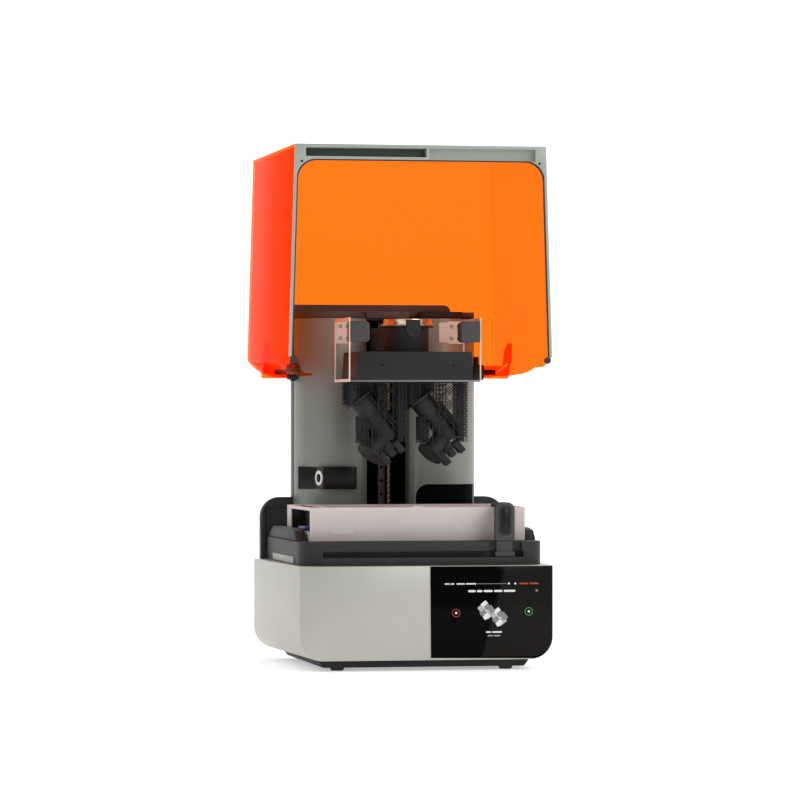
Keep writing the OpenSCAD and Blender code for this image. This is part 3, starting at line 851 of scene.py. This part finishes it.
def print_body():
    """The printed part: a flanged barrel, a fin, an elbow with its own flange, and clamp lugs."""
    top = mm(-25, 0, 398)
    elbow = mm(7, 0, 337)
    pieces = [disc("barrel", top, BARREL, 15 * MM, 76 * MM, 0.8 * MM, 56),
              disc("barrel_sleeve", top, BARREL, 17.5 * MM, 30 * MM, 1.2 * MM, 56),
              disc("barrel_flange", top - BARREL * 3 * MM, BARREL, 25 * MM, 3.5 * MM, 0.5 * MM, 56),
              disc("elbow", elbow - ELBOW * 4 * MM, ELBOW, 14.5 * MM, 32 * MM, 0.8 * MM, 48),
              disc("elbow_flange", elbow + ELBOW * 27 * MM, ELBOW, 21 * MM, 3.5 * MM, 0.5 * MM, 48),
              disc("side_tube", mm(2, 14, 392), BARREL, 9 * MM, 58 * MM, 0.6 * MM, 40)]
    pieces.append(turned_block("fin", (1.6, 30, 78), (11, 0, 374), FIN_TILT, 0.3))
    for x, z, long in ((33, 327, 20), (11, 309, 21), (22, 318, 12)):
        for y in (-9, 9):
            pieces.append(turned_block("lug", (long, 8, 9.5), (x, y, z), LUG_TILT))
    pieces.append(turned_block("web", (38, 22, 3), (22, 0, 326), WEB_TILT))
    pieces.append(turned_block("cheek", (22, 20, 16), (14, 0, 329), LUG_TILT))
    return pieces


def strut(name, x, y, high, low):
    """An upright strut that tapers downwards, in millimetres."""
    return rod(name, mm(x, y, high), mm(x, y, low), STRUT_RADIUS, STRUT_SIDES, STRUT_TIP)


def trellis(x0, x1, y, low, high, bay):
    """Two posts from low up to high, with crossed braces between them at every bay."""
    pieces = [strut("post", x, y, high, low) for x in (x0, x1)]
    z = high - 1
    while z - bay > low:
        pieces.append(rod("brace", mm(x0, y, z), mm(x1, y, z - bay), BRACE_RADIUS, BRACE_SIDES))
        pieces.append(rod("brace", mm(x1, y, z), mm(x0, y, z - bay), BRACE_RADIUS, BRACE_SIDES))
        z -= bay
    return pieces


def print_supports(rows):
    """Braced struts between the raft and the part."""
    roof = SHEET_Z / MM - 1
    pieces = [block("raft", mm(-49, -30, roof - 0.6), mm(43, 30, roof + 1), 0.5 * MM)]
    for i in range(rows):
        y = -24 + 48 * i / (rows - 1)
        for x in range(-46, -28, 4):
            pieces.append(strut("strut", x, y, roof, 389 + (x + 46) * 0.5))
        for x in range(-27, -4, 4):
            pieces.append(strut("strut", x, y * 0.7, roof, 399 + (x + 27) * 0.5))
        pieces += trellis(-46, -38, y, 389, roof, 8)
        pieces += trellis(31, 36, y, 336, roof, 7)
        pieces += trellis(36, 42, y, 334, roof, 8)
        pieces += trellis(-26, -20, y * 0.8 + 4, 332, 372, 7)
        pieces += trellis(-20, -14, y * 0.8 + 4, 330, 364, 6)
    for y in (-23, 0, 23):
        pieces += trellis(0, 10, y, 334, roof, 13)
        pieces += trellis(10, 31, y, 350, roof, 21)
    for x, low in ((-10, 330), (22, 334)):
        pieces.append(strut("post", x, -22, roof if x > 0 else 358, low))
    return pieces


class PRINTER_OT_prints(bpy.types.Operator):
    """The two finished prints hanging from the platform on their supports"""

    bl_idname = "printer.prints"
    bl_label = "Prints"

    def execute(self, context):
        model = joined("print_model", print_body() + print_supports(size_props().pillars))
        for node in ("print_left", "print_right"):
            low, high = (Vector(corner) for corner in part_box(node))
            copy = bpy.data.objects.new(node + "_model", model.data.copy())
            context.scene.collection.objects.link(copy)
            copy.data.transform(Matrix.Translation(((low.x + high.x) / 2, (low.y + high.y) / 2, 0)))
            settle(copy, BODY_OF[node], "print_resin", node)
        bpy.data.objects.remove(model)
        return {"FINISHED"}


# ---------------------------------------------------------------- platform


HUB_RIM_Z, HUB_LID_Z, HUB_LID_HEIGHT = 508.4 * MM, 509.1 * MM, 8.1 * MM
TAB_LOW, TAB_HIGH, TAB_BACK, TAB_THICK = (61, 484), (97, 514), 32.05 * MM, 0.7 * MM
RIVET_FACE, RIVET_X, RIVET_Z = 30.7, (80, 91), (490, 508)


class PRINTER_OT_platform(bpy.types.Operator):
    """Black discs of painted shade in the front holes, hub rim and lid with a painted amber highlight, and
    the dimpled tab faces of the build platform
    """

    bl_idname = "printer.platform"
    bl_label = "Platform detail"

    def execute(self, context):
        lift = BODY_OF["platform_body"]
        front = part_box("platform_body")[0][1]
        # black discs over the front holes: painted shade inside them
        holes = [disc("hole_shade_disc", (x * MM, front, 448 * MM), (0, -1, 0), 1.3 * MM, 0.2 * MM, 0.05 * MM, 20)
                 for x in (-50, 58)]
        settle(joined("front_hole_shade", holes), lift, "black_matte", finish="near_black_and_hollow_shade")
        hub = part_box("platform_hub")
        centre = ((hub[0][0] + hub[1][0]) / 2, (hub[0][1] + hub[1][1]) / 2)
        # the hub's rim and lid carry the painted amber highlight
        settle(ring("hub_rim", (*centre, HUB_RIM_Z), (0, 0, 1), 38.6 * MM, 1.1 * MM, 72), lift,
               "black_matte", finish="hub_highlight_gold")
        settle(disc("hub_lid", (*centre, HUB_LID_Z), (0, 0, 1), 36.3 * MM, HUB_LID_HEIGHT, 0.5 * MM, 72),
               lift, "black_matte", finish="hub_highlight_gold")
        for side, name in ((-1, "left"), (1, "right")):
            body = BODY_OF[name + "_flange"]
            outline = [(side * x * MM, z * MM) for x, z in rounded_outline(TAB_LOW, TAB_HIGH, 2)][::side]
            settle(plate(name + "_tab_face", outline, 1, TAB_BACK, -TAB_THICK), body, "cream_metal")
            dimples = [ring("dimple", mm(side * x, RIVET_FACE, z), (0, 1, 0), 2.1 * MM, 0.5 * MM, 24)
                       for x in RIVET_X for z in RIVET_Z]
            settle(joined(name + "_dimples", dimples), body, "cream_metal", finish="rail_steel")
        return {"FINISHED"}


# ---------------------------------------------------------------- tank and mixer


class PRINTER_OT_tank(bpy.types.Operator):
    """Black walls of painted shade in the pocket, badge frame and rim tab of the resin tank"""

    bl_idname = "printer.tank"
    bl_label = "Tank detail"

    def execute(self, context):
        low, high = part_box("resin_tank")
        front, top = low[1] / MM, high[2] / MM
        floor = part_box("tank_tab")[0][2] / MM
        left, rear = low[0] / MM, high[1] / MM
        # black walls of painted shade in the pocket: its inner side, its front end, its rear end and its
        # floor
        walls = [block("wall", mm(-138.7, front + 5, floor), mm(-138.05, rear - 18, top - 1), 0.1 * MM),
                 block("wall", mm(left + 3, front + 5.1, floor), mm(-138.1, front + 5.7, top - 1), 0.1 * MM),
                 block("wall", mm(left + 3, rear - 18.7, floor), mm(-138.1, rear - 18.1, top - 1), 0.1 * MM),
                 block("wall", mm(left + 0.3, front + 5, floor + 0.05), mm(-138.1, rear - 18.1, floor + 0.5),
                       0.1 * MM)]
        body = BODY_OF["resin_tank"]
        settle(joined("tank_pocket_shade", walls), body, "black_matte")
        settle(frame_panel("tank_badge", (-131, 199), (-94, 219), front, 0.5, 4, 0.8), body, "tank_grey")
        settle(block("tank_rim_tab", mm(-8, front + 0.3, top - 0.5), mm(8, front + 2.7, top + 1.6), 0.5 * MM),
               body, "tank_grey")
        return {"FINISHED"}


class PRINTER_OT_mixer(bpy.types.Operator):
    """Framed grip of the mixer and the pad inside it"""

    bl_idname = "printer.mixer"
    bl_label = "Mixer detail"

    def execute(self, context):
        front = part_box("mixer_carriage")[0][1] / MM
        body = BODY_OF["mixer_carriage"]
        settle(frame_panel("mixer_grip", (113.5, 197), (131.5, 241), front, 0.9, 6, 1.6), body, "deck_grey")
        pad = [(x * MM, z * MM) for x, z in rounded_outline((116.5, 200), (128.5, 238), 5)]
        settle(plate("mixer_pad", pad, 1, front * MM, -1.3 * MM, 0.5 * MM), body, "black_gloss")
        return {"FINISHED"}


# ---------------------------------------------------------------- leadscrew


SCREW_START, SCREW_PITCH = 200 * MM, 8 * MM
SCREW_OUTER, SCREW_ROOT = 3.0 * MM, 2.2 * MM


class PRINTER_OT_leadscrew(bpy.types.Operator):
    """The threaded screw that lifts the platform"""

    bl_idname = "printer.leadscrew"
    bl_label = "Leadscrew"

    def execute(self, context):
        low, high = (Vector(corner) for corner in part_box("leadscrew"))
        centre = (low + high) / 2
        turns = int((high.z - SCREW_START) / SCREW_PITCH)
        bpy.ops.mesh.primitive_grid_add(x_subdivisions=4, y_subdivisions=1, size=1)
        thread = context.object
        thread.name = "leadscrew_thread"
        only(thread)
        bpy.ops.object.mode_set(mode="EDIT")
        mesh = bmesh.from_edit_mesh(thread.data)
        spare = [vertex for vertex in mesh.verts if vertex.co.y > 0]
        bmesh.ops.delete(mesh, geom=spare, context="VERTS")
        profile = ((SCREW_ROOT, 0), (SCREW_OUTER, 0.3), (SCREW_OUTER, 0.5), (SCREW_ROOT, 0.8),
                   (SCREW_ROOT, 1))
        for vertex, (radius, height) in zip(sorted(mesh.verts, key=lambda v: v.co.x), profile):
            vertex.co = (radius, 0, height * SCREW_PITCH)
        bmesh.update_edit_mesh(thread.data)
        bpy.ops.object.mode_set(mode="OBJECT")
        apply_modifier(thread, "SCREW", axis="Z", screw_offset=SCREW_PITCH, iterations=turns - 1, steps=24,
                       render_steps=24, use_merge_vertices=True)
        only(thread)
        bpy.ops.object.mode_set(mode="EDIT")
        bpy.ops.mesh.select_all(action="SELECT")
        bpy.ops.mesh.remove_doubles(threshold=MERGE_WITHIN)
        bpy.ops.mesh.fill_holes(sides=0)
        bpy.ops.mesh.select_all(action="SELECT")
        bpy.ops.mesh.normals_make_consistent(inside=False)
        bpy.ops.object.mode_set(mode="OBJECT")
        thread.data.transform(Matrix.Translation((centre.x, centre.y, SCREW_START)))
        core = [disc("screw_core", (centre.x, centre.y, 170 * MM), (0, 0, 1), 5 * MM, 31 * MM),
                disc("screw_shaft", (centre.x, centre.y, 199 * MM), (0, 0, 1), 2.3 * MM, high.z - 199 * MM),
                disc("coupling", (centre.x, centre.y, low.z), (0, 0, 1), 8 * MM, 25 * MM)]
        piece = joined("leadscrew_turned", [thread] + core)
        bpy.ops.object.shade_smooth_by_angle(angle=SMOOTH_UNDER)
        settle(piece, BODY_OF["leadscrew"], "brass", "leadscrew")
        return {"FINISHED"}


# ---------------------------------------------------------------- column and rear


RAIL_HOLE_Z = 273 * MM
SLOT_HALF, SLOT_LINER_Y = 33.4 * MM, (157.1 * MM, 157.5 * MM)


class PRINTER_OT_column(bpy.types.Operator):
    """Black disc of painted shade in the rail's hole and the black lining of the column's slot"""

    bl_idname = "printer.column"
    bl_label = "Column detail"

    def execute(self, context):
        body = BODY_OF["tower_shell"]
        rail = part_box("linear_rail")
        x = (rail[0][0] + rail[1][0]) / 2
        # a black disc paints the shade inside the rail's hole
        settle(disc("rail_hole_shade", (x, rail[0][1], RAIL_HOLE_Z), (0, -1, 0), 2.6 * MM, 0.2 * MM, 0.05 * MM, 20),
               body, "steel", finish="near_black_and_hollow_shade")
        low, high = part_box("tower_shell")
        settle(block("slot_liner", (-SLOT_HALF, SLOT_LINER_Y[0], low[2]),
                     (SLOT_HALF, SLOT_LINER_Y[1], high[2] - 2 * MM), 0.1 * MM), body, "black_matte",
               finish="near_black_and_hollow_shade")
        return {"FINISHED"}


PORTS = (  # name, across, up, width, height
    ("usb_socket_1", -138, 53, 13, 6), ("usb_socket_2", -118, 53, 13, 6), ("network_socket", -92, 53, 16, 13),
)
INLET_PINS = ((-7, -2), (0, 2), (7, -2))
CASE_SCREW_X, CASE_SCREW_Z = (-130, 130), (215, 320, 420, 505)
GUARD_RINGS, GUARD_REACH, GUARD_WIRE = (8, 15, 22, 29), 33 * MM, 0.7 * MM
DIAGONALS = (Vector((0.707, 0, 0.707)), Vector((0.707, 0, -0.707)))


class PRINTER_OT_rear(bpy.types.Operator):
    """Sockets, pins, painted shade in the screw recesses and the fan guard on the back"""

    bl_idname = "printer.rear"
    bl_label = "Rear detail"

    def execute(self, context):
        body = BODY_OF["port_plate"]
        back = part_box("port_plate")[1][1] / MM
        for name, x, z, width, height in PORTS:
            shell = frame_panel(name + "_shell", (x - width / 2, z - height / 2),
                                (x + width / 2, z + height / 2), 0, 0.8, 0.8, 0.8)
            shell.data.transform(Matrix.Rotation(math.pi, 4, "Z"))
            shell.data.transform(Matrix.Translation(mm(2 * x, back, 0)))
            settle(shell, body, "steel")
            settle(block(name + "_tongue", mm(x - width / 3, back - 0.2, z - 0.8),
                         mm(x + width / 3, back + 0.4, z + 0.8), 0.2 * MM), body, "dark_parts",
                   finish="near_black_and_hollow_shade")
        low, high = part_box("power_inlet")
        middle = ((low[0] + high[0]) / 2, (low[2] + high[2]) / 2)
        pins = [block("pin", (middle[0] + dx * MM - 1 * MM, high[1] - 6 * MM, middle[1] + dz * MM - 2 * MM),
                      (middle[0] + dx * MM + 1 * MM, high[1] - 0.5 * MM, middle[1] + dz * MM + 2 * MM),
                      0.3 * MM)
                for dx, dz in INLET_PINS]
        settle(joined("inlet_pins", pins), BODY_OF["power_inlet"], "steel")
        # black hexagons on the screw heads: painted shade inside their socket recesses
        sockets = []
        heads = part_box("case_screws")[1][1]
        for x in CASE_SCREW_X:
            for z in CASE_SCREW_Z:
                sockets.append(disc("socket", (x * MM, heads, z * MM), (0, 1, 0), 1.5 * MM, 0.1 * MM,
                                    0.02 * MM, 6))
        settle(joined("screw_socket_shade", sockets), BODY_OF["case_screws"], "dark_parts", finish="near_black_and_hollow_shade")
        low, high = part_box("fan_frame")
        centre = Vector(((low[0] + high[0]) / 2, high[1] + 0.6 * MM, (low[2] + high[2]) / 2))
        guard = [ring("guard", centre, (0, 1, 0), radius * MM, GUARD_WIRE) for radius in GUARD_RINGS]
        guard += [rod("guard_bar", centre - direction * GUARD_REACH, centre + direction * GUARD_REACH,
                      GUARD_WIRE)
                  for direction in DIAGONALS]
        settle(joined("fan_guard", guard), BODY_OF["fan_frame"], "steel")
        return {"FINISHED"}


# ---------------------------------------------------------------- cover


ARM_CUT = opened(0, 0, 410).y
RIM_SCREWS = (opened(-178, -158, 153.8), opened(178, -158, 153.8))
POCKET_CORNERS = (opened(-171.5, -177.8, 166.5), opened(7.5, -165.7, 166.9))


class PRINTER_OT_cover(bpy.types.Operator):
    """Short links of the hinge, corner screws of the rim and a dark sage plate of painted shade in the grip
    pocket
    """

    bl_idname = "printer.cover"
    bl_label = "Cover detail"

    def execute(self, context):
        body = BODY_OF["cover_rim"]
        softened("hinge_arms", 1.0, cut_behind=ARM_CUT)
        dots = [disc("rim_screw", place, (0, -1, 0), 1.8 * MM, 0.12 * MM, 0.02 * MM, 24)
                for place in RIM_SCREWS]
        settle(joined("rim_screws", dots), body, "dark_parts", finish="near_black_and_hollow_shade")
        # a dark sage plate in the grip pocket paints the shade of the recess
        low = [min(axis) for axis in zip(*POCKET_CORNERS)]
        high = [max(axis) for axis in zip(*POCKET_CORNERS)]
        settle(block("grip_pocket_shade", low, high, 0.1 * MM), body, "dark_parts", finish="pocket_shade_sage")
        return {"FINISHED"}


# ---------------------------------------------------------------- panel and order of work


class PRINTER_PT_panel(bpy.types.Panel):
    """Builds the printer's finishes and detail"""

    bl_label = "Resin Printer"
    bl_idname = "PRINTER_PT_panel"
    bl_space_type = "VIEW_3D"
    bl_region_type = "UI"
    bl_category = "Resin Printer"

    def draw(self, context):
        column = self.layout.column()
        for group in (context.scene.printer_finish, context.scene.printer_sizes):
            for name in group.__annotations__:
                column.prop(group, name)
        for step in STEPS:
            column.operator(step.bl_idname)


STEPS = (PRINTER_OT_stage, PRINTER_OT_finishes, PRINTER_OT_casings, PRINTER_OT_screen, PRINTER_OT_eye,
         PRINTER_OT_prints, PRINTER_OT_platform, PRINTER_OT_tank, PRINTER_OT_mixer, PRINTER_OT_leadscrew,
         PRINTER_OT_column, PRINTER_OT_rear, PRINTER_OT_cover)
CLASSES = (PrinterFinish, PrinterSizes, *STEPS, PRINTER_PT_panel)


def register():
    for cls in CLASSES:
        bpy.utils.register_class(cls)
    bpy.types.Scene.printer_finish = bpy.props.PointerProperty(type=PrinterFinish)
    bpy.types.Scene.printer_sizes = bpy.props.PointerProperty(type=PrinterSizes)


def unregister():
    del bpy.types.Scene.printer_sizes
    del bpy.types.Scene.printer_finish
    for cls in reversed(CLASSES):
        bpy.utils.unregister_class(cls)


def main():
    register()
    for step in STEPS:
        area, name = step.bl_idname.split(".")
        getattr(getattr(bpy.ops, area), name)()


if __name__ == "__main__":
    main()
